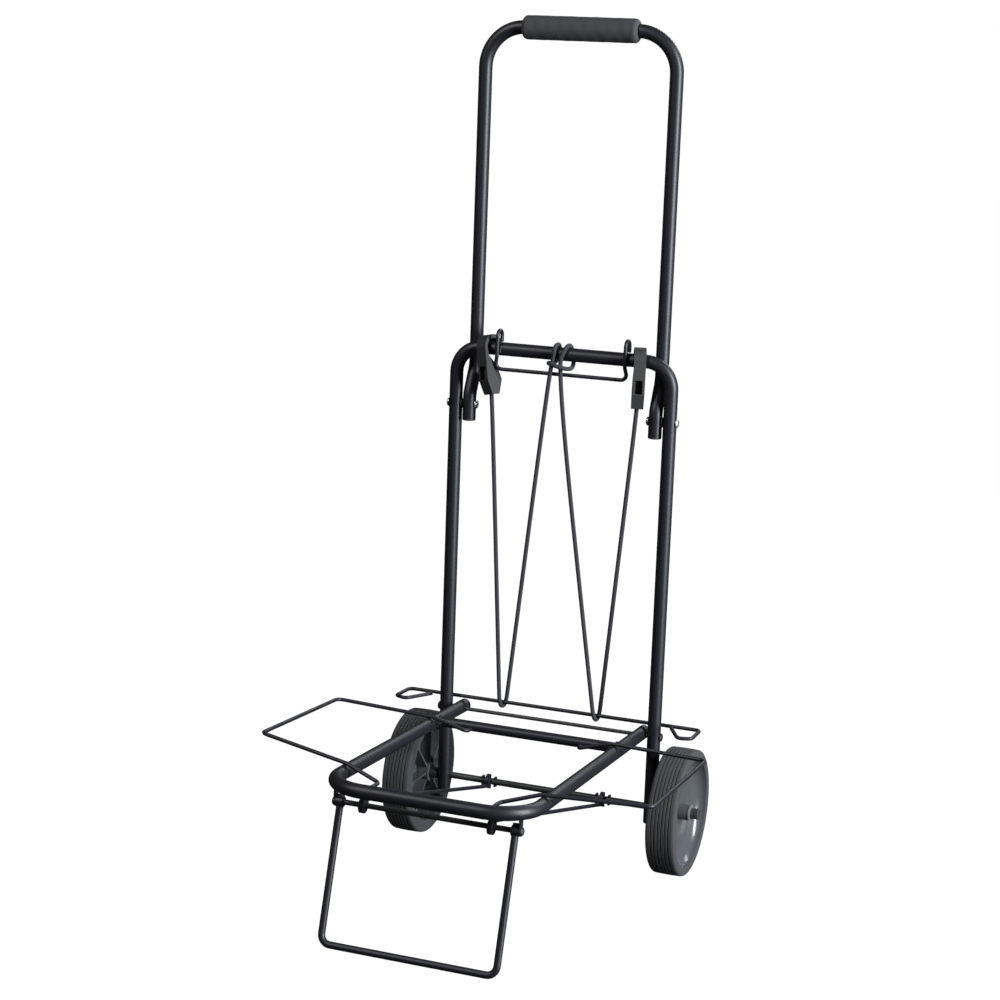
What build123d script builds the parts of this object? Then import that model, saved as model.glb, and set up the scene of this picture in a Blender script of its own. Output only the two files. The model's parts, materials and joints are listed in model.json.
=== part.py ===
from build123d import *
import math
import os

# Folding wheeled luggage cart. X runs along the axle (+X to the right of somebody who
# stands in front of the cart), -Y is the front, +Z is up and the ground is z = 0.
# All sizes are in millimetres. Shapes are drawn with the axle at y = 0 and moved back by
# AXLE_Y when they are written, so that the origin is under the middle of the cart.

# ---- driving dimensions ----
AXLE_Y = 173.45         # axle behind the middle of the cart
TUBE_R = 8.0            # 16 mm steel tube
TUBE_WALL = 1.2
WIRE_R = 2.3            # wings, brace links, bungee rail, hook wire, pivot rod
FIT = 0.06              # radial play of a running fit
GAP = 0.35              # gap between pieces that move past each other

WHEEL_R = 76.2          # 6 in wheel
WHEEL_IN = 151.0        # inner and outer face of the wheel
WHEEL_OUT = 186.0
AXLE_R = 4.0
AXLE_HALF = 193.0
AXLE_Z = WHEEL_R

LEG_X = 134.2           # main frame legs
LEAN = math.radians(-2.0)
TOP_Z = 613.4           # centre of the frame's top bar
TOP_BEND = 32.0
FOOT_Z = 58.0           # lower end of the legs

INNER_X = 116.6         # handle tubes and platform side tubes
HANDLE_PIVOT_Z = 544.0
HANDLE_END_Z = 526.0
HANDLE_BACK = 17.0      # handle behind the frame line
HANDLE_TOP_Z = 988.0
HANDLE_BEND = 47.0
GRIP_R = 14.2
GRIP_HALF = 70.0
PIN_R = 3.0             # handle rivets

DECK_PIVOT_Z = 164.2
DECK_SLOPE = 1.16       # degrees, front higher
DECK_FRONT = 395.3      # pivot to front tube
DECK_REAR = 16.0        # tube behind the pivot
DECK_BEND = 48.0
CROSS_Y = -74.5
CROSS_R = 6.2

RAIL_Z = 177.0          # bungee rail across the back of the legs
RAIL_HALF = 188.0

WING_HINGE_X = 70.0
WING_HINGE_Z = -2.5
WING_OUT_X = 230.0
WING_REAR_Z = {-1: 19.4, 1: 11.5}   # outer corners: the left wing is bent up further
WING_FRONT_Z = {-1: 22.4, 1: 9.0}
WING_REST = (113.0, 10.5)   # where the wire passes over the side tube (x, z)

STAND_ROD_Y = -380.7    # cross rod under the front tube, carries the stand
STAND_ROD_Z = 151.5
STAND_ROD_R = 3.0
STAND_R = 4.0
STAND_X = 101.0
STAND_FOOT_Y = -419.3
LINK_X = 74.0
LINK_OFFSET = 6.2       # shank above the cross rod's centre and below the axle's centre

CORD_R = 2.6
BAIL_X = 79.5


def leg_y(z):
    """y of the leg centre line at height z."""
    return (z - AXLE_Z) * math.tan(LEAN)


BAR_Y = leg_y(TOP_Z)
DECK_PIVOT_Y = leg_y(DECK_PIVOT_Z)
HANDLE_PIVOT_Y = leg_y(HANDLE_PIVOT_Z)
RAIL_Y = leg_y(RAIL_Z) + TUBE_R + WIRE_R
DECK = Location((0, DECK_PIVOT_Y, DECK_PIVOT_Z), (-DECK_SLOPE, 0, 0))


# ---- helpers ----
def swept(path, radius, wall=0.0):
    """Round rod, or tube with a wall, along a path."""
    plane = Plane(origin=path @ 0, z_dir=path % 0)
    section = Circle(radius) if wall == 0 else Circle(radius) - Circle(radius - wall)
    return sweep(plane * section, path=path)


def bent(points, radii, radius, wall=0.0):
    """Rod or tube along straight runs joined by arcs, one radius per corner."""
    return swept(FilletPolyline(*points, radius=radii), radius, wall)


def x_rod(x0, x1, y, z, radius):
    """Round bar along X."""
    return Pos((x0 + x1) / 2, y, z) * Rot(0, 90, 0) * Cylinder(radius, abs(x1 - x0))


def headed_rod(x0, x1, y, z, radius, head_r):
    """Rod along X from x0 to x1 with a rounded rivet head beyond each end."""
    high = 2.4
    low_head = x_rod(x0 - high, x0, y, z, head_r)
    high_head = x_rod(x1, x1 + high, y, z, head_r)
    low_head = fillet(low_head.edges().sort_by(Axis.X)[0], 2.0)
    high_head = fillet(high_head.edges().sort_by(Axis.X)[-1], 2.0)
    return joined(x_rod(x0, x1, y, z, radius), low_head, high_head)


def end_plug(x, y, z, tilt):
    """Plastic plug: a cap on the tube's lower end and a stem inside it."""
    cap = fillet((Pos(0, 0, -1.0) * Cylinder(TUBE_R, 2.0)).edges().group_by(Axis.Z)[0], 1.2)
    stem = Pos(0, 0, 4.0) * Cylinder(TUBE_R - TUBE_WALL - 0.02, 8.0)
    return joined(cap, stem).moved(Pos(x, y, z) * Rot(tilt, 0, 0))


def joined(*shapes):
    """One solid from pieces that touch."""
    solids = [solid for shape in shapes for solid in shape.solids()]
    return solids[0].fuse(*solids[1:])


def both(make):
    """The same piece on the left and on the right."""
    return [make(-1), make(1)]


def write(name, shapes):
    """Move a node's solids to the cart's origin and write its STEP file."""
    solids = [s for shape in shapes for s in shape.moved(Pos(0, AXLE_Y, 0)).solids()]
    whole = solids[0] if len(solids) == 1 else Compound(solids)
    export_step(whole, "parts/" + name + ".step")


# ---- main frame ----
def main_frame():
    ends = [(-LEG_X, leg_y(FOOT_Z), FOOT_Z), (-LEG_X, BAR_Y, TOP_Z),
            (LEG_X, BAR_Y, TOP_Z), (LEG_X, leg_y(FOOT_Z), FOOT_Z)]
    tube = bent(ends, TOP_BEND, TUBE_R, TUBE_WALL)
    tube -= x_rod(-150, 150, 0, AXLE_Z, AXLE_R)
    tube -= x_rod(-150, 150, DECK_PIVOT_Y, DECK_PIVOT_Z, WIRE_R)
    return tube - x_rod(-150, 150, HANDLE_PIVOT_Y, HANDLE_PIVOT_Z, PIN_R)


def leg_plug(side):
    return end_plug(side * LEG_X, leg_y(FOOT_Z), FOOT_Z, -math.degrees(LEAN))


def bungee_rail():
    """Rod across the back of the legs, its ends bent forward into open loops."""
    def end(side):
        return [(side * (RAIL_HALF - 33), RAIL_Y - 9, RAIL_Z),
                (side * (RAIL_HALF - 14), RAIL_Y - 47, RAIL_Z),
                (side * (RAIL_HALF + 1), RAIL_Y - 40, RAIL_Z),
                (side * RAIL_HALF, RAIL_Y, RAIL_Z)]
    points = end(-1) + end(1)[::-1]
    return bent(points, [7, 6, 7, 7, 6, 7], WIRE_R)


def hook_wire():
    """Wire below the top bar; each end rises before the bar and curls over onto it."""
    front = BAR_Y - TUBE_R - WIRE_R

    def end(side):
        x = side * BAIL_X
        return [(x, BAR_Y + 4.5, TOP_Z + TUBE_R + 0.2),
                (x, BAR_Y + 4.5, TOP_Z + 22),
                (x, front, TOP_Z + 22),
                (x, front, TOP_Z - 8),
                (x + 3 * side, front + 4.2, TOP_Z - 23.5)]
    points = end(-1) + end(1)[::-1]
    return bent(points, [7.2, 7.2, 8, 7, 7, 8, 7.2, 7.2], WIRE_R)


# ---- handle ----
def handle_tube():
    def side_points(side):
        x = side * INNER_X
        return [(x, leg_y(HANDLE_END_Z), HANDLE_END_Z),
                (x, leg_y(556), 556),
                (x, leg_y(590) + HANDLE_BACK, 590),
                (x, leg_y(HANDLE_TOP_Z) + HANDLE_BACK, HANDLE_TOP_Z)]
    points = side_points(-1) + side_points(1)[::-1]
    bends = [30, 30, HANDLE_BEND]
    tube = bent(points, bends + bends[::-1], TUBE_R, TUBE_WALL)
    return tube - x_rod(-150, 150, HANDLE_PIVOT_Y, HANDLE_PIVOT_Z, PIN_R + FIT)


def handle_plug(side):
    return end_plug(side * INNER_X, leg_y(HANDLE_END_Z), HANDLE_END_Z, -math.degrees(LEAN))


def handle_grip():
    y = leg_y(HANDLE_TOP_Z) + HANDLE_BACK
    sleeve = x_rod(-GRIP_HALF, GRIP_HALF, y, HANDLE_TOP_Z, GRIP_R)
    sleeve = fillet(sleeve.edges(), 4.0)
    return sleeve - x_rod(-GRIP_HALF, GRIP_HALF, y, HANDLE_TOP_Z, TUBE_R)


def handle_rivet(side):
    """Rivet through leg and handle tube, with a domed head at each end."""
    inner, outer = sorted([side * (INNER_X - TUBE_R - GAP), side * (LEG_X + TUBE_R)])
    return headed_rod(inner, outer, HANDLE_PIVOT_Y, HANDLE_PIVOT_Z, PIN_R, 5.3)


def handle_spacer(side):
    x = side * (LEG_X - TUBE_R)
    ring = x_rod(x, x - side * 1.2, HANDLE_PIVOT_Y, HANDLE_PIVOT_Z, 6.0)
    return ring - x_rod(x, x - side * 1.2, HANDLE_PIVOT_Y, HANDLE_PIVOT_Z, PIN_R)


# ---- wheels and axle ----
def axle():
    rod = x_rod(-AXLE_HALF, AXLE_HALF, 0, AXLE_Z, AXLE_R)
    ear = fillet(Box(3.4, 4.4, 13).edges().filter_by(Axis.Y), 1.6)
    places = [-LINK_X - 8, -LINK_X + 8, LINK_X - 8, LINK_X + 8]
    return joined(rod, *[ear.moved(Pos(x, 0, AXLE_Z)) for x in places])


def wheel_spacer(side):
    x0, x1 = side * (LEG_X + TUBE_R), side * (WHEEL_IN + 0.7)
    return x_rod(x0, x1, 0, AXLE_Z, 7.0) - x_rod(x0, x1, 0, AXLE_Z, AXLE_R)


def wheel_washer(side):
    x0, x1 = side * (WHEEL_OUT - 2.2), side * (WHEEL_OUT - 0.8)
    return x_rod(x0, x1, 0, AXLE_Z, 10.0) - x_rod(x0, x1, 0, AXLE_Z, AXLE_R)


def axle_cap(side):
    """Push-on cap over the axle's end."""
    x0, x1 = side * (WHEEL_OUT - 0.8), side * (AXLE_HALF + 1.8)
    cap = x_rod(x0, x1, 0, AXLE_Z, 6.4)
    outer_edges = cap.edges().sort_by(Axis.X)[-1 if side > 0 else 0]
    cap = fillet(outer_edges, 1.2)
    return cap - x_rod(x0, side * AXLE_HALF, 0, AXLE_Z, AXLE_R)


def turned(profile, side):
    """Turn an (x, radius) profile about the axle."""
    part = revolve(make_face(profile), Axis.X)
    if side < 0:
        part = mirror(part, about=Plane.YZ)
    return part.moved(Pos(0, 0, AXLE_Z))


def wheel_tyre(side):
    """Ribbed tyre: six grooves round the tread."""
    inner, groove, depth = 66.5, 1.5, 1.3
    x0, x1 = WHEEL_IN, WHEEL_OUT
    outline = [(x0, inner), (x1, inner), (x1, WHEEL_R - 2.2), (x1 - 2.2, WHEEL_R)]
    pitch = (x1 - x0 - 4.4) / 7
    for i in range(6, 0, -1):
        x = x0 + 2.2 + i * pitch
        outline += [(x + groove / 2, WHEEL_R), (x + groove / 4, WHEEL_R - depth),
                    (x - groove / 4, WHEEL_R - depth), (x - groove / 2, WHEEL_R)]
    outline += [(x0 + 2.2, WHEEL_R), (x0, WHEEL_R - 2.2)]
    return turned(Polyline(*outline, close=True), side)


def wheel_rim(side):
    """Dished plastic rim: a flat web with a cove outside, ribs round the hub inside."""
    web_in, web_out, cove = 167.5, 171.0, 14.5
    rim_r, lip_r, hub_r, boss_r = 66.5, 64.5, 12.0, 9.5
    bore = AXLE_R + FIT
    x0, x1, hub0, hub1 = WHEEL_IN + 0.5, web_out + cove, WHEEL_IN + 1.1, WHEEL_OUT - 2.5
    mid = cove * math.sqrt(0.5)
    lines = Polyline((web_out, lip_r - cove), (web_out, boss_r), (hub1, boss_r), (hub1, bore),
                     (hub0, bore), (hub0, hub_r), (web_in, hub_r), (web_in, 60.5),
                     (x0, 60.5), (x0, rim_r), (x1, rim_r), (x1, lip_r))
    wall = ThreePointArc((x1, lip_r), (x1 - mid, lip_r - cove + mid), (web_out, lip_r - cove))
    rim = turned(lines + wall, side)
    ribs = []
    span = 60.5 - hub_r + 1.0
    for angle in range(0, 360, 45):
        middle = Pos(side * (x0 + 2.5 + web_in) / 2, 0, hub_r + span / 2 - 0.5)
        rib = middle * Box(web_in - x0 - 2.5, 2.4, span)
        ribs.append(rib.moved(Pos(0, 0, AXLE_Z) * Rot(angle, 0, 0)))
    return joined(rim, *ribs)


# ---- platform ----
def deck_outline():
    y0, y1 = DECK_REAR, -DECK_FRONT
    return [(-INNER_X, y0, 0), (-INNER_X, y1, 0), (INNER_X, y1, 0), (INNER_X, y0, 0)]


def platform_frame():
    tube = bent(deck_outline(), DECK_BEND, TUBE_R, TUBE_WALL)
    tube -= x_rod(-150, 150, 0, 0, WIRE_R + FIT)
    for side in (-1, 1):
        hole = Pos(side * WING_HINGE_X, -DECK_FRONT + 5, WING_HINGE_Z) * Rot(90, 0, 0)
        tube -= hole * Cylinder(WIRE_R + FIT, 10)
    return tube.moved(DECK)


def platform_solid():
    return bent(deck_outline(), DECK_BEND, TUBE_R).moved(DECK)


def platform_cross_tube():
    bar = DECK * x_rod(-INNER_X, INNER_X, CROSS_Y, 0, CROSS_R)
    bar -= platform_solid()
    bar -= DECK * x_rod(-INNER_X, INNER_X, CROSS_Y, 0, CROSS_R - TUBE_WALL)
    for side in (-1, 1):
        hole = Pos(side * WING_HINGE_X, CROSS_Y - 5, WING_HINGE_Z) * Rot(90, 0, 0)
        bar -= DECK * hole * Cylinder(WIRE_R + FIT, 10)
    return bar


def platform_plug(side):
    return end_plug(side * INNER_X, DECK_REAR, 0, 90).moved(DECK)


def platform_pivot_rod():
    """Rod through both legs and both side tubes, headed outside the legs."""
    end = LEG_X + TUBE_R
    return headed_rod(-end, end, DECK_PIVOT_Y, DECK_PIVOT_Z, WIRE_R, 5.0)


# ---- stand and brace links ----
def stand_bracket(side):
    """Thin tab under the platform's front corner, outside the stand's leg."""
    x, half = side * (STAND_X + STAND_R + 1.5), 0.9
    tab = Pos(x, STAND_ROD_Y, STAND_ROD_Z + 9) * Box(2 * half, 9, 18)
    tab = joined(tab, x_rod(x - half, x + half, STAND_ROD_Y, STAND_ROD_Z, 5.5))
    tab -= x_rod(-120, 120, STAND_ROD_Y, STAND_ROD_Z, STAND_ROD_R)
    return [(tab - platform_solid()).solids().sort_by(Axis.Z)[0]]


def stand_rod():
    """Cross rod through the brackets, the stand's eyes and the links' eyes."""
    end = STAND_X + STAND_R + 2.4
    return headed_rod(-end, end, STAND_ROD_Y, STAND_ROD_Z, STAND_ROD_R, 4.8)


def stand_leg():
    """U-shaped wire foot; each upper end turns on the cross rod."""
    rise = STAND_ROD_Z - STAND_R
    back = STAND_ROD_Y - STAND_FOOT_Y
    over = 8.0 / math.hypot(rise, back)
    top = (STAND_ROD_Y + over * back, STAND_ROD_Z + over * rise)
    points = [(-STAND_X, top[0], top[1]), (-STAND_X, STAND_FOOT_Y, STAND_R),
              (STAND_X, STAND_FOOT_Y, STAND_R), (STAND_X, top[0], top[1])]
    eyes = [x_rod(s * (STAND_X - STAND_R), s * (STAND_X + STAND_R), STAND_ROD_Y, STAND_ROD_Z, 6.0)
            for s in (-1, 1)]
    leg = joined(bent(points, 11, STAND_R), *eyes)
    return leg - x_rod(-120, 120, STAND_ROD_Y, STAND_ROD_Z, STAND_ROD_R + FIT)


def brace_link(side):
    """Wire strut: closed eye on the cross rod, open fork that bears on the axle's front."""
    ring_r, half = 8.6, 2.6
    x = side * LINK_X
    rise = STAND_ROD_Z - AXLE_Z
    slope = math.atan2(rise, -STAND_ROD_Y)
    offset = math.asin(2 * LINK_OFFSET / math.hypot(STAND_ROD_Y, rise))
    normal = (LINK_OFFSET * math.sin(slope + offset), LINK_OFFSET * math.cos(slope + offset))
    shank = Line((x, STAND_ROD_Y + normal[0], STAND_ROD_Z + normal[1]),
                 (x, -normal[0], AXLE_Z - normal[1]))
    eye = x_rod(x - half, x + half, STAND_ROD_Y, STAND_ROD_Z, ring_r)
    fork = x_rod(x - half, x + half, 0, AXLE_Z, ring_r + 0.6)
    link = joined(swept(shank, WIRE_R), eye, fork)
    link -= x_rod(x - 5, x + 5, STAND_ROD_Y, STAND_ROD_Z, STAND_ROD_R + GAP)
    link -= x_rod(x - 5, x + 5, 0, AXLE_Z, AXLE_R + GAP)
    return link - Pos(x, 10, AXLE_Z) * Box(10, 20, 40)


# ---- wings ----
def wing(side):
    """Wire wing: hinged in the cross tube and the front tube, resting on the side tube."""
    rest_x, rest_z = WING_REST
    rear_in, rear_out, front_out, front_in = -92.0, -113.0, -313.0, -347.0
    share = (rest_x - WING_HINGE_X) / (WING_OUT_X - WING_HINGE_X)
    points = [(WING_HINGE_X, CROSS_Y - 1, WING_HINGE_Z),
              (WING_HINGE_X, rear_in, WING_HINGE_Z),
              (rest_x, rear_in + share * (rear_out - rear_in), rest_z),
              (WING_OUT_X, rear_out, WING_REAR_Z[side]),
              (WING_OUT_X, front_out, WING_FRONT_Z[side]),
              (rest_x, front_in + share * (front_out - front_in), rest_z),
              (WING_HINGE_X, front_in, WING_HINGE_Z),
              (WING_HINGE_X, -DECK_FRONT + 1, WING_HINGE_Z)]
    points = [(side * x, y, z) for x, y, z in points]
    return bent(points, [6, 14, 9, 9, 14, 6], WIRE_R).moved(DECK)


# ---- bungee cord ----
HOOK_THROAT = 11.8
HOOK_OUT = 16.0
HOOK_W = 14.0
HOOK_PLACE = {
    -1: Location((-92.7, BAR_Y, TOP_Z - 0.3)) * Rot(0, 0, -20) * Rot(0, -11, 0),
    1: Location((94.0, BAR_Y, TOP_Z - 0.3)) * Rot(0, 0, 20),
}


def hook_exit(side, depth):
    """Point on the cord's line out of a hook, depth below the bar."""
    return (HOOK_PLACE[side] * Pos(0, -4.5, -depth)).position


def cord_hook(side):
    """Plastic hook: a J over the bar and a six-sided body that holds the cord."""
    ring = Circle(HOOK_OUT) - Circle(HOOK_THROAT)
    cut = Polygon((0, 0), (60, -12), (60, -60), (-60, -60), (-60, 0), align=None)
    head = ring - cut
    body = Polygon((-HOOK_OUT, 0.5), (-HOOK_THROAT, 0.5), (-10.8, -8), (2, -22), (8, -38),
                   (1.5, -55), (-10.5, -55), (-17, -38), align=None)
    body = fillet(body.vertices().sort_by(Axis.Y)[:5], 1.5)
    shape = extrude(Plane.YZ * (head + body), amount=HOOK_W / 2, both=True)
    shape -= Pos(0, -16, -29) * Box(8.4, 11, 16)
    shape -= Pos(0, -4.5, -50) * Cylinder(CORD_R + 0.05, 24)
    return shape.moved(HOOK_PLACE[side])


def cord_route():
    """Points of the cord's centre line, and the radius at each corner."""
    turn = WIRE_R + CORD_R + 0.35
    front, back, low = RAIL_Y - turn, RAIL_Y + turn + 0.7, RAIL_Z - turn
    over = TUBE_R + CORD_R + 0.1
    bar_f, bar_b, bar_t = BAR_Y - over, BAR_Y + over, TOP_Z + over
    start = hook_exit(-1, 44)
    left = hook_exit(-1, 58)
    right = hook_exit(1, 58)
    stop = hook_exit(1, 44)
    route = [
        (start, 0), (left, 12),
        ((-66, front, low), turn - 0.2), ((-62, back, low), turn - 0.2),
        ((-12, bar_f - 1.2, 592), 20), ((-8.5, bar_f, 606), 8),
        ((-7.5, bar_f, bar_t), 10.4), ((-7.5, bar_b, bar_t), 10.4),
        ((-11, bar_b, 600), 9), ((-17, bar_f - 5.8, 604), 8.5),
        ((11, bar_f - 5.8, 597), 8.5), ((11, bar_b, 598.5), 9),
        ((6.5, bar_b, bar_t), 10.4), ((6.5, bar_f, bar_t), 10.4),
        ((-3, bar_f - 1.7, 598), 16),
        ((56, front, low), turn - 0.2), ((59, back, low), turn - 0.2),
        (right, 12), (stop, 0),
    ]
    points = [tuple(Vector(p)) for p, r in route]
    return points, [r for p, r in route[1:-1]]


def bungee_cord():
    points, radii = cord_route()
    path = FilletPolyline(*points, radius=radii)
    tube = swept(path, CORD_R)
    ratio = tube.volume / (math.pi * CORD_R ** 2 * path.length)
    print("cord length %.1f mm, volume / section x length %.4f" % (path.length, ratio))
    print("cord radii", radii)
    for p in points:
        print("cord point (%.1f, %.1f, %.1f)" % (p[0], p[1] + AXLE_Y, p[2]))
    return tube


os.makedirs("parts", exist_ok=True)
write("main_frame", [main_frame()])
write("leg_plugs", both(leg_plug))
write("bungee_rail", [bungee_rail()])
write("hook_wire", [hook_wire()])
write("handle_tube", [handle_tube()])
write("handle_plugs", both(handle_plug))
write("handle_grip", [handle_grip()])
write("handle_rivets", both(handle_rivet))
write("handle_spacers", both(handle_spacer))
write("axle", [axle()])
write("wheel_spacers", both(wheel_spacer))
write("wheel_washers", both(wheel_washer))
write("axle_caps", both(axle_cap))
write("platform_frame", [platform_frame()])
write("platform_cross_tube", [platform_cross_tube()])
write("platform_plugs", both(platform_plug))
write("platform_pivot_rod", [platform_pivot_rod()])
write("stand_rod", [stand_rod()])
write("stand_leg", [stand_leg()])
for name, side in (("left", -1), ("right", 1)):
    write("tyre_" + name, [wheel_tyre(side)])
    write("rim_" + name, [wheel_rim(side)])
    write("stand_bracket_" + name, stand_bracket(side))
    write("link_" + name, [brace_link(side)])
    write("wing_" + name, [wing(side)])
    write("cord_hook_" + name, [cord_hook(side)])
write("bungee_cord", [bungee_cord()])
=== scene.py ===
"""Folding luggage cart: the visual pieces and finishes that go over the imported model."""

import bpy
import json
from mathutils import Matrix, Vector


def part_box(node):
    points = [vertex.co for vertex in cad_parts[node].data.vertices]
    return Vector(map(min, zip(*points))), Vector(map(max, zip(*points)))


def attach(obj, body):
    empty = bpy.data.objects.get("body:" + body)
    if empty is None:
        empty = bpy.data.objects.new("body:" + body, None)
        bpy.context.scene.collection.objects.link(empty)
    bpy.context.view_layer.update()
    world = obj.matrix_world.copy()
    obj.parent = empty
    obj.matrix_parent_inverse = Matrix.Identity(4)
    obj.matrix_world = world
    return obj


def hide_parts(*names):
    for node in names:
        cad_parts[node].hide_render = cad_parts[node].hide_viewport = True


bl_info = {
    "name": "Folding Luggage Cart",
    "version": (1, 0, 0),
    "blender": (4, 5, 0),
    "location": "3D Viewport > Sidebar > Cart",
    "description": "Builds the cord, grip, tyres, welds and finishes of a folding luggage cart",
    "category": "Object",
}

import json
import math
import bpy
import numpy as np
from bpy.props import FloatProperty, FloatVectorProperty, IntProperty, PointerProperty
from mathutils import Matrix

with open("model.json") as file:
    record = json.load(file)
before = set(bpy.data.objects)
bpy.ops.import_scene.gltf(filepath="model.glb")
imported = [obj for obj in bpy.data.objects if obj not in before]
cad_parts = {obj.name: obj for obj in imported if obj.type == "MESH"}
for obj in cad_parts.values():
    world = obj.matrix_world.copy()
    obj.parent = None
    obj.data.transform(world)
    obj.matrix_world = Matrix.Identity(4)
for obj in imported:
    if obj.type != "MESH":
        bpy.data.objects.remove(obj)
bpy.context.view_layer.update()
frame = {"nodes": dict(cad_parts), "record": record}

MM = 0.001
TUBE_R = 8 * MM             # frame, handle and platform tube
WIRE_R = 2.3 * MM           # bungee rail and hook wire
HOOK_RISER_X = 79.5 * MM    # the hook wire's upright ends beside the middle
WELD_STEP = 2.2 * MM        # distance between the swellings of a weld bead
WELD_TAPER = 1.6 * MM       # length in which a weld bead thins out
# Centre line of the elastic cord, from the left hook to the right hook, in metres.
CORD_ROUTE = [
    (-0.0863, 0.1476, 0.5699), (-0.0838, 0.1467, 0.5562), (-0.0674, 0.1727, 0.2030),
    (-0.0660, 0.1750, 0.1718), (-0.0620, 0.1862, 0.1718), (-0.0583, 0.1830, 0.2030),
    (-0.0120, 0.1428, 0.5920), (-0.0085, 0.1440, 0.6060), (-0.0075, 0.1440, 0.6241),
    (-0.0075, 0.1654, 0.6241), (-0.0110, 0.1654, 0.6000), (-0.0170, 0.1382, 0.6040),
    (0.0110, 0.1382, 0.5970), (0.0110, 0.1654, 0.5985), (0.0065, 0.1654, 0.6241),
    (0.0065, 0.1440, 0.6241), (-0.0030, 0.1423, 0.5980), (0.0517, 0.1726, 0.2030),
    (0.0560, 0.1750, 0.1718), (0.0590, 0.1862, 0.1718), (0.0620, 0.1833, 0.2030),
    (0.0955, 0.1505, 0.5551), (0.0955, 0.1505, 0.5691),
]


def node_centre(name):
    """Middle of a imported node's box."""
    low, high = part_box(name)
    return (np.array(low) + np.array(high)) / 2


def node_size(name):
    """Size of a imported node's box."""
    low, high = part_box(name)
    return np.array(high) - np.array(low)


# ---------------------------------------------------------------- settings
class CartCordSettings(bpy.types.PropertyGroup):
    diameter: FloatProperty(
        name="Diameter", description="Thickness of the elastic cord",
        default=5.2 * MM, min=0.002, max=0.012, unit="LENGTH")
    strands: IntProperty(
        name="Strands", description="Yarns of the braid that run each way round the cord",
        default=8, min=4, max=24)
    pitch: FloatProperty(
        name="Braid pitch", description="Length in which a yarn goes once round the cord",
        default=14 * MM, min=0.004, max=0.05, unit="LENGTH")


class CartGripSettings(bpy.types.PropertyGroup):
    end_radius: FloatProperty(
        name="End rounding", description="Radius of the foam grip's rounded ends",
        default=5 * MM, min=0.001, max=0.012, unit="LENGTH")
    pinch: FloatProperty(
        name="Unevenness", description="How far the foam's surface wanders in and out",
        default=0.25 * MM, min=0.0, max=0.002, unit="LENGTH")


class CartWheelSettings(bpy.types.PropertyGroup):
    ribs: IntProperty(
        name="Tread ribs", description="Raised bands round the tyre's tread",
        default=6, min=2, max=12)
    groove_depth: FloatProperty(
        name="Groove depth", description="Depth of the grooves between the ribs",
        default=1.4 * MM, min=0.0, max=0.005, unit="LENGTH")
    shoulder: FloatProperty(
        name="Shoulder radius", description="Rounding of the tyre's outer edges",
        default=2.6 * MM, min=0.0005, max=0.008, unit="LENGTH")


class CartFinishSettings(bpy.types.PropertyGroup):
    paint: FloatVectorProperty(
        name="Paint", description="Colour of the painted tubes and wires",
        default=(0.0020, 0.0021, 0.0023), subtype="COLOR", min=0.0, max=1.0)
    rubber: FloatVectorProperty(
        name="Tyre", description="Colour of the tyre rubber",
        default=(0.030, 0.030, 0.032), subtype="COLOR", min=0.0, max=1.0)
    rim: FloatVectorProperty(
        name="Rim", description="Colour of the moulded rims",
        default=(0.022, 0.024, 0.028), subtype="COLOR", min=0.0, max=1.0)
    foam: FloatVectorProperty(
        name="Foam", description="Colour of the grip's foam",
        default=(0.008, 0.008, 0.009), subtype="COLOR", min=0.0, max=1.0)


class CartSettings(bpy.types.PropertyGroup):
    cord: PointerProperty(type=CartCordSettings)
    grip: PointerProperty(type=CartGripSettings)
    wheel: PointerProperty(type=CartWheelSettings)
    finish: PointerProperty(type=CartFinishSettings)


# ---------------------------------------------------------------- meshes
def surface(name, rings, close_rows=False, poles=False, uv=None):
    """Mesh over a grid of points: rows of rings, each ring closed on itself.

    rings has the shape (rows, columns, 3). close_rows joins the last row to the first.
    poles closes the first and the last row with a point at their mean. uv holds (u, v) for
    each grid point with one more column, so that a pattern closes round the ring.
    """
    rows, columns, _ = rings.shape
    points = rings.reshape(-1, 3)
    last = rows if close_rows else rows - 1
    row, column = np.meshgrid(np.arange(last), np.arange(columns), indexing="ij")
    below = (row + 1) % rows
    beside = (column + 1) % columns
    quads = np.stack([row * columns + column, row * columns + beside,
                      below * columns + beside, below * columns + column], axis=-1)
    quads = quads.reshape(-1, 4)
    corners = quads.reshape(-1)
    starts = np.arange(len(quads)) * 4
    if poles:
        tips = np.array([rings[0].mean(axis=0), rings[-1].mean(axis=0)])
        ring = np.arange(columns)
        after = (ring + 1) % columns
        base = (rows - 1) * columns
        head = np.stack([np.full(columns, len(points)), after, ring], axis=-1)
        foot = np.stack([np.full(columns, len(points) + 1), base + ring, base + after], axis=-1)
        starts = np.concatenate([starts, len(corners) + np.arange(2 * columns) * 3])
        corners = np.concatenate([corners, head.reshape(-1), foot.reshape(-1)])
        points = np.concatenate([points, tips])
    mesh = bpy.data.meshes.new(name)
    mesh.vertices.add(len(points))
    mesh.vertices.foreach_set("co", points.reshape(-1).astype(np.float32))
    mesh.loops.add(len(corners))
    mesh.loops.foreach_set("vertex_index", corners.astype(np.int32))
    mesh.polygons.add(len(starts))
    mesh.polygons.foreach_set("loop_start", starts.astype(np.int32))
    mesh.polygons.foreach_set("use_smooth", np.ones(len(starts), dtype=bool))
    if uv is not None:
        layer = mesh.uv_layers.new(name="UVMap")
        wide = columns + 1
        cells = np.stack([row * wide + column, row * wide + column + 1,
                          (row + 1) * wide + column + 1, (row + 1) * wide + column], axis=-1)
        values = uv.reshape(-1, 2)[cells.reshape(-1)]
        filler = np.zeros((len(corners) - len(values), 2))
        layer.data.foreach_set("uv", np.concatenate([values, filler]).reshape(-1))
    mesh.update()
    mesh.validate()
    piece = bpy.data.objects.new(name, mesh)
    bpy.context.scene.collection.objects.link(piece)
    return piece


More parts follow.
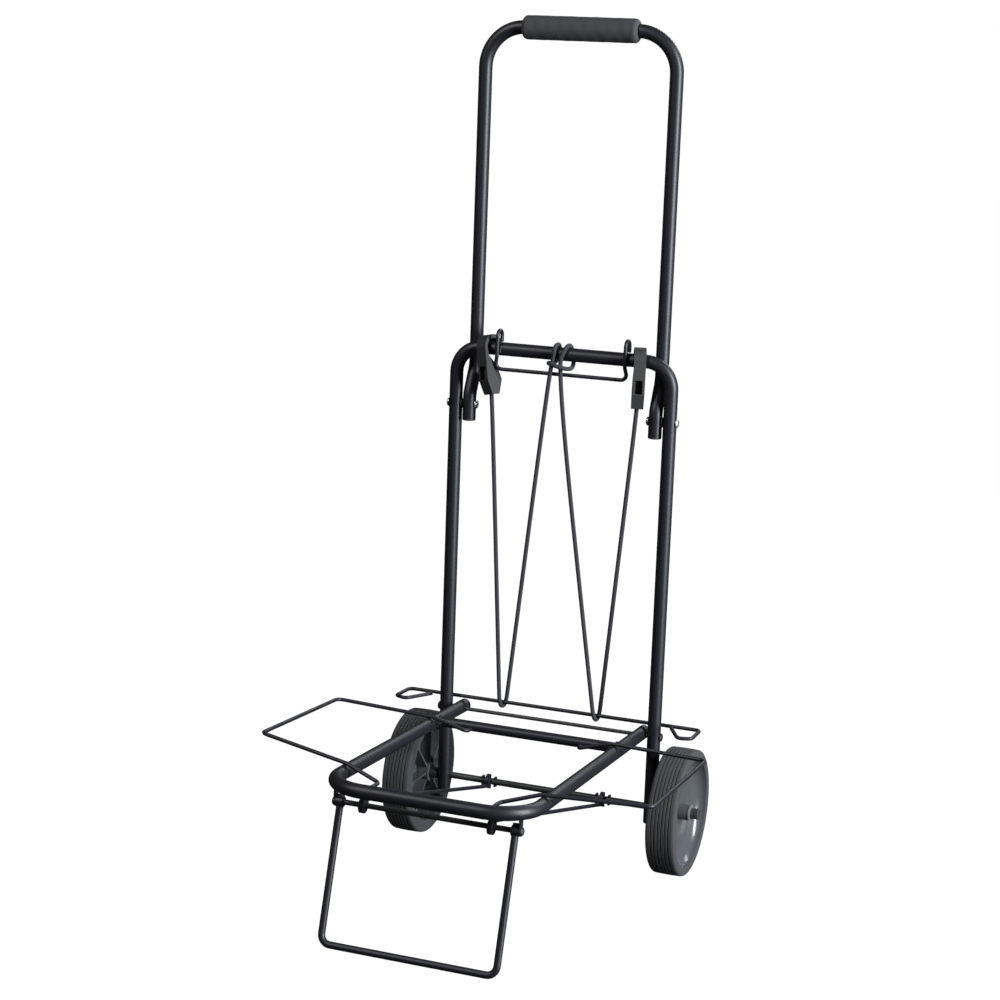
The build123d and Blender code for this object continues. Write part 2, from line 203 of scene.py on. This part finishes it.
def revolved(name, along, radius, centre, steps):
    """Closed profile (along the X axis, radius) turned about an axle through centre."""
    turn = np.linspace(0, 2 * math.pi, steps, endpoint=False)[:, None]
    x = np.broadcast_to(along[None, :], (steps, len(along)))
    y = radius[None, :] * np.cos(turn)
    z = radius[None, :] * np.sin(turn)
    rings = np.stack([x, y, z], axis=-1) + np.asarray(centre)
    return surface(name, rings, close_rows=True)


def tube_rings(path, radius, columns):
    """Rings round a path: each is a circle in the plane across the path.

    The circle's first direction is carried along by removing, at each step, the part of it
    that lies along the path, so the rings don't twist.
    """
    ahead = np.gradient(path, axis=0)
    ahead /= np.linalg.norm(ahead, axis=1)[:, None]
    side = np.empty_like(path)
    first = np.cross(ahead[0], (0.0, 0.0, 1.0))
    if np.linalg.norm(first) < 0.1:
        first = np.cross(ahead[0], (0.0, 1.0, 0.0))
    side[0] = first / np.linalg.norm(first)
    for i in range(1, len(path)):
        carried = side[i - 1] - ahead[i] * np.dot(side[i - 1], ahead[i])
        side[i] = carried / np.linalg.norm(carried)
    up = np.cross(ahead, side)
    turn = np.linspace(0, 2 * math.pi, columns, endpoint=False)
    ring = (side[:, None] * np.cos(turn)[None, :, None]
            + up[:, None] * np.sin(turn)[None, :, None])
    wide = np.broadcast_to(np.asarray(radius, dtype=float), (len(path),))
    return path[:, None] + ring * wide[:, None, None]


def declare(piece, body, slot, *nodes):
    """Hang a piece on the empty of the body it rides on and hide the imported nodes it stands
    for; slot is not used.
    """
    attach(piece, body)
    if nodes:
        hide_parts(*nodes)


# ---------------------------------------------------------------- shader groups
def new_group(name, inputs, outputs):
    """Empty shader group with float or vector inputs and float outputs."""
    group = bpy.data.node_groups.new(name, "ShaderNodeTree")
    for label, kind, value in inputs:
        socket = group.interface.new_socket(label, in_out="INPUT", socket_type=kind)
        if value is not None:
            socket.default_value = value
    for label, kind in outputs:
        group.interface.new_socket(label, in_out="OUTPUT", socket_type=kind)
    return group, group.nodes.new("NodeGroupInput"), group.nodes.new("NodeGroupOutput")


def math_node(tree, operation, first, second=None, clamp=False):
    """Math node whose inputs are sockets or numbers."""
    node = tree.nodes.new("ShaderNodeMath")
    node.operation = operation
    node.use_clamp = clamp
    for socket, value in zip(node.inputs, (first, second)):
        if value is None:
            continue
        if isinstance(value, (int, float)):
            socket.default_value = value
        else:
            tree.links.new(value, socket)
    return node.outputs[0]


def mottle_group():
    """Soft patches and fine specks: two noises of different size, blended by Speck."""
    name = "Mottle"
    if name in bpy.data.node_groups:
        return bpy.data.node_groups[name]
    group, given, result = new_group(
        name,
        [("Vector", "NodeSocketVector", None), ("Patch Scale", "NodeSocketFloat", 30.0),
         ("Speck Scale", "NodeSocketFloat", 900.0), ("Speck", "NodeSocketFloat", 0.4),
         ("Low", "NodeSocketFloat", 0.0), ("High", "NodeSocketFloat", 1.0)],
        [("Value", "NodeSocketFloat"), ("Specks", "NodeSocketFloat")])
    noises = []
    for label, detail in (("Patch Scale", 3.0), ("Speck Scale", 2.0)):
        noise = group.nodes.new("ShaderNodeTexNoise")
        noise.inputs["Detail"].default_value = detail
        group.links.new(given.outputs["Vector"], noise.inputs["Vector"])
        group.links.new(given.outputs[label], noise.inputs["Scale"])
        noises.append(noise.outputs[0])
    rest = math_node(group, "SUBTRACT", 1.0, given.outputs["Speck"])
    patches = math_node(group, "MULTIPLY", noises[0], rest)
    specks = math_node(group, "MULTIPLY", noises[1], given.outputs["Speck"])
    blend = math_node(group, "ADD", patches, specks)
    span = math_node(group, "SUBTRACT", given.outputs["High"], given.outputs["Low"])
    value = math_node(group, "ADD", math_node(group, "MULTIPLY", blend, span),
                      given.outputs["Low"])
    group.links.new(value, result.inputs["Value"])
    group.links.new(noises[1], result.inputs["Specks"])
    return group


def braid_group():
    """Braided yarns from the UV map: two sets of slanting waves, the higher one on top."""
    name = "Braid"
    if name in bpy.data.node_groups:
        return bpy.data.node_groups[name]
    group, given, result = new_group(
        name,
        [("Around", "NodeSocketFloat", 0.0), ("Along", "NodeSocketFloat", 0.0),
         ("Strands", "NodeSocketFloat", 8.0), ("Pitch", "NodeSocketFloat", 0.014)],
        [("Height", "NodeSocketFloat"), ("Tracer", "NodeSocketFloat")])
    turns = math_node(group, "MULTIPLY", given.outputs["Around"], given.outputs["Strands"])
    steps = math_node(group, "DIVIDE", given.outputs["Along"], given.outputs["Pitch"])
    steps = math_node(group, "MULTIPLY", steps, given.outputs["Strands"])
    waves = []
    phases = []
    for operation in ("ADD", "SUBTRACT"):
        phase = math_node(group, operation, turns, steps)
        wave = math_node(group, "SINE", math_node(group, "MULTIPLY", phase, 2 * math.pi))
        waves.append(math_node(group, "MULTIPLY", math_node(group, "ADD", wave, 1.0), 0.5))
        phases.append(phase)
    height = math_node(group, "MAXIMUM", waves[0], waves[1])
    quarter = math_node(group, "FRACT", math_node(group, "DIVIDE", phases[0], 4.0))
    tracer = math_node(group, "MULTIPLY", math_node(group, "LESS_THAN", quarter, 0.25),
                       waves[0])
    group.links.new(height, result.inputs["Height"])
    group.links.new(tracer, result.inputs["Tracer"])
    return group


def place_group(tree, group, **values):
    """Put a group in a material and set its inputs (underscores stand for spaces)."""
    node = tree.nodes.new("ShaderNodeGroup")
    node.node_tree = group
    for label, value in values.items():
        node.inputs[label.replace("_", " ")].default_value = value
    return node


def new_material(name, roughness, **sockets):
    """Material with a Principled shader and the constants set on its own sockets."""
    material = bpy.data.materials.new(name)
    material.use_nodes = True
    shader = material.node_tree.nodes["Principled BSDF"]
    shader.inputs["Roughness"].default_value = roughness
    for label, value in sockets.items():
        shader.inputs[label.replace("_", " ")].default_value = value
    return material, material.node_tree, shader


def shade_mottled(tree, shader, colour, spread, rough, bump, vector="Object", patch=30.0,
                  speck=900.0, mix=0.4):
    """Base colour, roughness and bump that all vary with one Mottle group.

    spread is how far the colour goes each side of colour, rough the lowest and highest
    roughness, and bump the height in metres of the specks.
    """
    where = tree.nodes.new("ShaderNodeTexCoord")
    mottle = place_group(tree, mottle_group(), Patch_Scale=patch, Speck_Scale=speck,
                         Speck=mix)
    tree.links.new(where.outputs[vector], mottle.inputs["Vector"])
    ramp = tree.nodes.new("ShaderNodeValToRGB")
    ramp.color_ramp.elements[0].position = 0.3
    ramp.color_ramp.elements[1].position = 0.7
    ramp.color_ramp.elements[0].color = (*[c * (1 - spread) for c in colour], 1)
    ramp.color_ramp.elements[1].color = (*[c * (1 + spread) for c in colour], 1)
    tree.links.new(mottle.outputs["Value"], ramp.inputs["Fac"])
    tree.links.new(ramp.outputs["Color"], shader.inputs["Base Color"])
    span = tree.nodes.new("ShaderNodeMapRange")
    span.inputs["From Min"].default_value = 0.3
    span.inputs["From Max"].default_value = 0.7
    span.inputs["To Min"].default_value = rough[0]
    span.inputs["To Max"].default_value = rough[1]
    tree.links.new(mottle.outputs["Value"], span.inputs["Value"])
    tree.links.new(span.outputs["Result"], shader.inputs["Roughness"])
    raised = tree.nodes.new("ShaderNodeBump")
    raised.inputs["Strength"].default_value = 1.0
    raised.inputs["Distance"].default_value = bump
    tree.links.new(mottle.outputs["Specks"], raised.inputs["Height"])
    tree.links.new(raised.outputs["Normal"], shader.inputs["Normal"])


def painted_steel(finish):
    """Semi-gloss black paint with a faint orange peel."""
    material, tree, shader = new_material(
        "black_paint", 0.25, Specular_IOR_Level=0.5)
    shade_mottled(tree, shader, finish.paint, 0.25, (0.16, 0.22), 0.00001, patch=60, speck=450)
    return material


def coated_steel(finish):
    """Black oxide on axle, rods and crimps: duller and a little browner than the paint."""
    material, tree, shader = new_material("dark_steel", 0.4, Metallic=0.6)
    shade_mottled(tree, shader, (0.035, 0.034, 0.034), 0.35, (0.3, 0.48), 0.00003,
                  patch=120, speck=1400)
    return material


def bright_steel(finish):
    """Zinc-plated rivets and washers."""
    material, tree, shader = new_material("bright_steel", 0.25, Metallic=1.0)
    shade_mottled(tree, shader, (0.62, 0.62, 0.60), 0.15, (0.18, 0.38), 0.00002,
                  patch=200, speck=2500)
    return material


def tyre_rubber(finish):
    """Dark grey rubber, matt, with a fine dusty bloom."""
    material, tree, shader = new_material("tyre_rubber", 0.6, Specular_IOR_Level=0.4)
    shade_mottled(tree, shader, finish.rubber, 0.3, (0.5, 0.68), 0.00005, patch=45, speck=1600)
    return material


def rim_plastic(finish):
    """Moulded dark grey plastic with a satin shine."""
    material, tree, shader = new_material(
        "rim_plastic", 0.3, Specular_IOR_Level=0.55, Coat_Weight=0.2, Coat_Roughness=0.2)
    shade_mottled(tree, shader, finish.rim, 0.15, (0.26, 0.38), 0.00002, patch=40, speck=900)
    return material


def moulded_plastic(finish):
    """Black nylon of hooks, plugs and caps with a fine spark-eroded grain."""
    material, tree, shader = new_material("black_plastic", 0.5, Specular_IOR_Level=0.45)
    shade_mottled(tree, shader, (0.016, 0.016, 0.017), 0.3, (0.42, 0.58), 0.00006,
                  patch=90, speck=1800, mix=0.6)
    return material


def grip_foam(finish):
    """Fine-celled foam: deep specks and a soft sheen."""
    material, tree, shader = new_material(
        "foam", 0.9, Specular_IOR_Level=0.2, Sheen_Weight=0.06, Sheen_Roughness=0.6)
    shade_mottled(tree, shader, finish.foam, 0.45, (0.8, 0.97), 0.00035, patch=120,
                  speck=950, mix=0.75)
    return material


def cord_braid(cord):
    """Black braid with a lighter tracer yarn, from the cord's own UV map."""
    material, tree, shader = new_material(
        "cord_braid", 0.6, Specular_IOR_Level=0.4, Sheen_Weight=0.3, Sheen_Roughness=0.4)
    where = tree.nodes.new("ShaderNodeUVMap")
    split = tree.nodes.new("ShaderNodeSeparateXYZ")
    tree.links.new(where.outputs["UV"], split.inputs["Vector"])
    braid = place_group(tree, braid_group(), Strands=float(cord.strands), Pitch=cord.pitch)
    tree.links.new(split.outputs["X"], braid.inputs["Around"])
    tree.links.new(split.outputs["Y"], braid.inputs["Along"])
    ramp = tree.nodes.new("ShaderNodeValToRGB")
    ramp.color_ramp.elements[0].position = 0.2
    ramp.color_ramp.elements[1].position = 0.9
    ramp.color_ramp.elements[0].color = (0.012, 0.012, 0.014, 1)
    ramp.color_ramp.elements[1].color = (0.105, 0.108, 0.120, 1)
    tree.links.new(braid.outputs["Tracer"], ramp.inputs["Fac"])
    tree.links.new(ramp.outputs["Color"], shader.inputs["Base Color"])
    raised = tree.nodes.new("ShaderNodeBump")
    raised.inputs["Distance"].default_value = 0.0003
    tree.links.new(braid.outputs["Height"], raised.inputs["Height"])
    tree.links.new(raised.outputs["Normal"], shader.inputs["Normal"])
    return material


def finish_of(slot, settings):
    """Material for a slot of the record, made on first use."""
    if slot in bpy.data.materials:
        return bpy.data.materials[slot]
    makers = {
        "black_paint": painted_steel, "dark_steel": coated_steel,
        "bright_steel": bright_steel, "tyre_rubber": tyre_rubber,
        "rim_plastic": rim_plastic, "black_plastic": moulded_plastic, "foam": grip_foam,
    }
    if slot == "cord_braid":
        return cord_braid(settings.cord)
    return makers[slot](settings.finish)


def dress(piece, slot, context):
    """Give a new piece its slot's material."""
    piece.data.materials.clear()
    piece.data.materials.append(finish_of(slot, context.scene.luggage_cart))


# ---------------------------------------------------------------- cord
def route_points(route, samples):
    """Points on the NURBS curve that has the route as its control points."""
    curve = bpy.data.curves.new("cord_line", "CURVE")
    curve.dimensions = "3D"
    spline = curve.splines.new("NURBS")
    spline.points.add(len(route) - 1)
    for point, place in zip(spline.points, route):
        point.co = (*place, 1.0)
    spline.order_u = 3
    spline.use_endpoint_u = True
    spline.resolution_u = samples
    line = bpy.data.objects.new("cord_line", curve)
    bpy.context.scene.collection.objects.link(line)
    mesh = bpy.data.meshes.new_from_object(line)
    points = np.empty(len(mesh.vertices) * 3)
    mesh.vertices.foreach_get("co", points)
    bpy.data.objects.remove(line)
    bpy.data.curves.remove(curve)
    bpy.data.meshes.remove(mesh)
    return points.reshape(-1, 3)


class CART_OT_cord(bpy.types.Operator):
    """Make the elastic cord: a braided tube along its route from hook to hook."""
    bl_idname = "luggage_cart.cord"
    bl_label = "Elastic cord"

    def execute(self, context):
        cord = context.scene.luggage_cart.cord
        path = route_points(CORD_ROUTE, 24)
        rings = tube_rings(path, cord.diameter / 2, 20)
        steps = np.linalg.norm(np.diff(path, axis=0), axis=1)
        along = np.concatenate([[0.0], np.cumsum(steps)])
        around = np.linspace(0, 1, rings.shape[1] + 1)
        uv = np.stack(np.broadcast_arrays(around[None, :], along[:, None]), axis=-1)
        piece = surface("cord", rings, poles=True, uv=uv)
        declare(piece, "frame", "cord_braid", "bungee_cord")
        dress(piece, "cord_braid", context)
        return {"FINISHED"}


# ---------------------------------------------------------------- grip
class CART_OT_grip(bpy.types.Operator):
    """Make the foam grip: a sleeve along X with rounded ends and a slightly uneven skin."""
    bl_idname = "luggage_cart.grip"
    bl_label = "Foam grip"

    def execute(self, context):
        grip = context.scene.luggage_cart.grip
        centre = node_centre("handle_grip")
        half = node_size("handle_grip")[0] / 2
        radius = node_size("handle_grip")[2] / 2 - grip.pinch
        bore = TUBE_R + 0.05 * MM
        corner = np.linspace(0, math.pi / 2, 10)
        end_x = half - grip.end_radius * (1 - np.sin(corner))
        end_r = radius - grip.end_radius * (1 - np.cos(corner))
        body_x = np.linspace(-1, 1, 90) * (half - grip.end_radius)
        x = np.concatenate([[-half], -end_x[::-1], body_x[1:-1], end_x, [half]])
        r = np.concatenate([[bore], end_r[::-1], np.full(88, radius), end_r, [bore]])
        turn = np.linspace(0, 2 * math.pi, 96, endpoint=False)
        wander = (np.sin(x * 190 + 1.3)[:, None] * np.sin(2 * turn + 0.6)[None, :]
                  + np.sin(x * 430)[:, None] * np.sin(3 * turn + 2.0)[None, :]) * 0.5
        solid = np.clip((r - bore) / (radius - bore), 0, 1)[:, None]
        wide = r[:, None] + grip.pinch * wander * solid
        rings = np.stack([np.broadcast_to(x[:, None], wide.shape),
                          wide * np.cos(turn), wide * np.sin(turn)], axis=-1) + centre
        piece = surface("foam_grip", rings[:, ::-1], close_rows=True)
        declare(piece, "handle", "foam", "handle_grip")
        dress(piece, "foam", context)
        return {"FINISHED"}


# ---------------------------------------------------------------- wheels
def tyre_profile(half, outer, inner, wheel):
    """Closed tyre section (x, radius): ribbed tread with a slight crown, rounded shoulders.

    A groove is a smooth dip: depth times (1 - smooth step) of the distance from its middle.
    """
    shoulder = wheel.shoulder
    flat = half - shoulder
    x = np.linspace(flat, -flat, 260)
    pitch = 2 * flat / (wheel.ribs + 1)
    place = (x + flat) / pitch
    away = np.abs(place - np.round(place)) * pitch
    inside = (np.round(place) > 0) & (np.round(place) <= wheel.ribs)
    dip = np.clip(1 - away / (0.85 * MM), 0, 1)
    dip = dip * dip * (3 - 2 * dip) * inside
    crown = 0.5 * MM * (x / half) ** 2
    tread = outer - crown - wheel.groove_depth * dip
    turn = np.linspace(0, math.pi / 2, 8)
    edge = outer - 0.5 * MM - shoulder
    right_x = flat + shoulder * np.cos(turn)
    right_r = edge + shoulder * np.sin(turn)
    wall = np.linspace(inner, edge, 6)[:-1]
    xs = np.concatenate([np.full(5, half), right_x, x[1:-1], -right_x[::-1], np.full(5, -half)])
    rs = np.concatenate([wall, right_r, tread[1:-1], right_r[::-1], wall[::-1]])
    return xs, rs


class CART_OT_tyres(bpy.types.Operator):
    """Make both tyres: a ribbed section turned about the axle."""
    bl_idname = "luggage_cart.tyres"
    bl_label = "Tyres"

    def execute(self, context):
        wheel = context.scene.luggage_cart.wheel
        for side in ("left", "right"):
            node = "tyre_" + side
            size = node_size(node)
            bead = node_size("rim_" + side)[1] / 2
            x, r = tyre_profile(size[0] / 2, size[1] / 2, bead, wheel)
            piece = revolved("ribbed_" + node, x, r, node_centre(node), steps=256)
            declare(piece, "wheel_" + side, "tyre_rubber", node)
            dress(piece, "tyre_rubber", context)
        return {"FINISHED"}


# ---------------------------------------------------------------- welds
def weld_bead(name, path, size, body, context):
    """Lumpy bead along a path: its radius swells every WELD_STEP and tapers at both ends."""
    steps = np.linalg.norm(np.diff(path, axis=0), axis=1)
    along = np.concatenate([[0.0], np.cumsum(steps)])
    ripple = 1 + 0.14 * np.sin(along * 2 * math.pi / WELD_STEP)
    ends = np.minimum(along, along[-1] - along) / WELD_TAPER
    taper = np.sqrt(np.clip(ends, 0.04, 1.0))
    piece = surface(name, tube_rings(path, size * ripple * taper, 14), poles=True)
    declare(piece, body, "black_paint")
    dress(piece, "black_paint", context)


class CART_OT_welds(bpy.types.Operator):
    """Make the weld beads where wires and cross tube meet the bent tubes."""
    bl_idname = "luggage_cart.welds"
    bl_label = "Weld beads"

    def execute(self, context):
        bead = 1.25 * MM
        skin = TUBE_R + 0.3 * MM
        wire = WIRE_R + 0.6 * MM
        reach = TUBE_R + WIRE_R
        swing = np.linspace(-0.7, 0.7, 40)
        leg_x = node_size("main_frame")[0] / 2 - TUBE_R
        low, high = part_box("bungee_rail")
        rail_z = (low[2] + high[2]) / 2
        leg_y = high[1] - WIRE_R - reach
        for side in (-1, 1):
            for up in (-1, 1):
                path = np.stack([side * leg_x + skin * np.sin(swing),
                                 leg_y + skin * np.cos(swing),
                                 np.full(len(swing), rail_z + up * wire)], axis=-1)
                weld_bead("rail_weld", path, bead, "frame", context)
        bar_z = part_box("main_frame")[1][2] - TUBE_R
        bar_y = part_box("hook_wire")[0][1] + WIRE_R + reach
        for side in (-1, 1):
            for beside in (-1, 1):
                path = np.stack([np.full(len(swing), side * HOOK_RISER_X + beside * wire),
                                 bar_y - skin * np.cos(swing),
                                 bar_z + skin * np.sin(swing)], axis=-1)
                weld_bead("hook_wire_weld", path, bead, "frame", context)
        centre = node_centre("platform_cross_tube")
        ring = node_size("platform_cross_tube")[2] / 2 + 0.4 * MM
        side_x = node_size("platform_frame")[0] / 2 - TUBE_R
        turn = np.linspace(0, 2 * math.pi, 90)
        saddle = side_x - np.sqrt(skin ** 2 - (ring * np.sin(turn)) ** 2)
        for side in (-1, 1):
            path = np.stack([side * saddle, centre[1] + ring * np.cos(turn),
                             centre[2] + ring * np.sin(turn)], axis=-1)
            weld_bead("cross_tube_weld", path, bead, "platform", context)
        return {"FINISHED"}


# ---------------------------------------------------------------- carried-over nodes
class CART_OT_finishes(bpy.types.Operator):
    """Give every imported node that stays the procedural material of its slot."""
    bl_idname = "luggage_cart.finishes"
    bl_label = "Finishes"

    def execute(self, context):
        settings = context.scene.luggage_cart
        for part in frame["record"]["subparts"]:
            node = frame["nodes"][part["node"]]
            material = finish_of(part["material_slot"], settings)
            for slot in node.material_slots:
                slot.material = material
        return {"FINISHED"}


# ---------------------------------------------------------------- stage
def area_light(name, place, target, size, power, colour):
    """Soft rectangular light at place, turned to target."""
    data = bpy.data.lights.new(name, "AREA")
    data.shape = "RECTANGLE"
    data.size, data.size_y = size
    data.energy = power
    data.color = colour
    light = bpy.data.objects.new(name, data)
    bpy.context.scene.collection.objects.link(light)
    back = np.array(place, dtype=float) - np.array(target, dtype=float)
    back /= np.linalg.norm(back)
    across = np.cross((0.0, 0.0, 1.0), back)
    across /= np.linalg.norm(across)
    up = np.cross(back, across)
    light.matrix_world = turned_to(across, up, back, place)


def turned_to(across, up, back, place):
    """Matrix of an object with these three directions at place."""
    columns = np.eye(4)
    columns[:3, 0] = across
    columns[:3, 1] = up
    columns[:3, 2] = back
    columns[:3, 3] = place
    return Matrix(columns.tolist())


class CART_OT_stage(bpy.types.Operator):
    """Make the pale floor, the soft studio lights and the camera."""
    bl_idname = "luggage_cart.stage"
    bl_label = "Stage"

    def execute(self, context):
        mesh = bpy.data.meshes.new("floor")
        far = 30.0
        mesh.from_pydata([(-far, -far, 0), (far, -far, 0), (far, far, 0), (-far, far, 0)],
                         [], [(0, 1, 2, 3)])
        floor = bpy.data.objects.new("floor", mesh)
        context.scene.collection.objects.link(floor)
        material, tree, shader = new_material("floor", 1.0, Specular_IOR_Level=0.0)
        shader.inputs["Base Color"].default_value = (0.04, 0.04, 0.04, 1)
        shader.inputs["Emission Color"].default_value = (1, 1, 1, 1)
        seen = tree.nodes.new("ShaderNodeLightPath").outputs["Is Camera Ray"]
        glow = math_node(tree, "MULTIPLY", seen, 1.0)
        tree.links.new(glow, shader.inputs["Emission Strength"])
        mesh.materials.append(material)

        world = bpy.data.worlds.new("studio")
        world.use_nodes = True
        sky = world.node_tree.nodes["Background"]
        sky.inputs["Color"].default_value = (1.0, 1.0, 1.0, 1)
        seen = world.node_tree.nodes.new("ShaderNodeLightPath").outputs["Is Camera Ray"]
        dim = math_node(world.node_tree, "MULTIPLY", seen, 0.94)
        world.node_tree.links.new(math_node(world.node_tree, "ADD", dim, 0.07),
                                  sky.inputs["Strength"])
        context.scene.world = world

        middle = (0.0, 0.0, 0.5)
        area_light("key", (-1.6, -2.1, 2.6), middle, (0.5, 1.6), 60, (1.0, 1.0, 1.0))
        area_light("side", (2.7, -0.6, 1.1), middle, (0.45, 2.6), 260, (0.90, 0.94, 1.0))
        area_light("back", (0.6, 2.6, 2.2), middle, (2.2, 0.4), 40, (0.95, 0.97, 1.0))
        context.scene.view_settings.view_transform = "Standard"

        azimuth, elevation, roll = (math.radians(a) for a in (20.64, 9.87, 2.76))
        level = np.array([math.cos(azimuth), math.sin(azimuth), 0.0])
        back = np.array([math.sin(azimuth) * math.cos(elevation),
                         -math.cos(azimuth) * math.cos(elevation), math.sin(elevation)])
        above = np.cross(back, level)
        across = level * math.cos(roll) + above * math.sin(roll)
        up = above * math.cos(roll) - level * math.sin(roll)
        target = np.array([-0.0619, 0.1315, 0.4361])
        data = bpy.data.cameras.new("camera")
        data.sensor_width = 36.0
        data.lens = 80.61
        distance = 2.6609
        camera = bpy.data.objects.new("camera", data)
        context.scene.collection.objects.link(camera)
        camera.matrix_world = turned_to(across, up, back, target + distance * back)
        context.scene.camera = camera
        return {"FINISHED"}


# ---------------------------------------------------------------- add-on
class CART_PT_panel(bpy.types.Panel):
    """Sidebar panel that lists the cart's settings and pieces."""
    bl_idname = "CART_PT_panel"
    bl_label = "Folding Luggage Cart"
    bl_space_type = "VIEW_3D"
    bl_region_type = "UI"
    bl_category = "Cart"

    def draw(self, context):
        settings = context.scene.luggage_cart
        for group in (settings.cord, settings.grip, settings.wheel, settings.finish):
            box = self.layout.box()
            for name in group.__annotations__:
                box.prop(group, name)
        for operator in OPERATORS:
            self.layout.operator(operator.bl_idname)


OPERATORS = (CART_OT_stage, CART_OT_cord, CART_OT_grip, CART_OT_tyres, CART_OT_welds,
             CART_OT_finishes)
CLASSES = (CartCordSettings, CartGripSettings, CartWheelSettings, CartFinishSettings,
           CartSettings, *OPERATORS, CART_PT_panel)


def register():
    """Register the classes and hang the settings on the scene."""
    for item in CLASSES:
        bpy.utils.register_class(item)
    bpy.types.Scene.luggage_cart = PointerProperty(type=CartSettings)


def unregister():
    """Undo register."""
    del bpy.types.Scene.luggage_cart
    for item in reversed(CLASSES):
        bpy.utils.unregister_class(item)


def main():
    """Build the whole cart."""
    register()
    bpy.ops.luggage_cart.stage()
    bpy.ops.luggage_cart.cord()
    bpy.ops.luggage_cart.grip()
    bpy.ops.luggage_cart.tyres()
    bpy.ops.luggage_cart.welds()
    bpy.ops.luggage_cart.finishes()


if __name__ == "__main__":
    main()
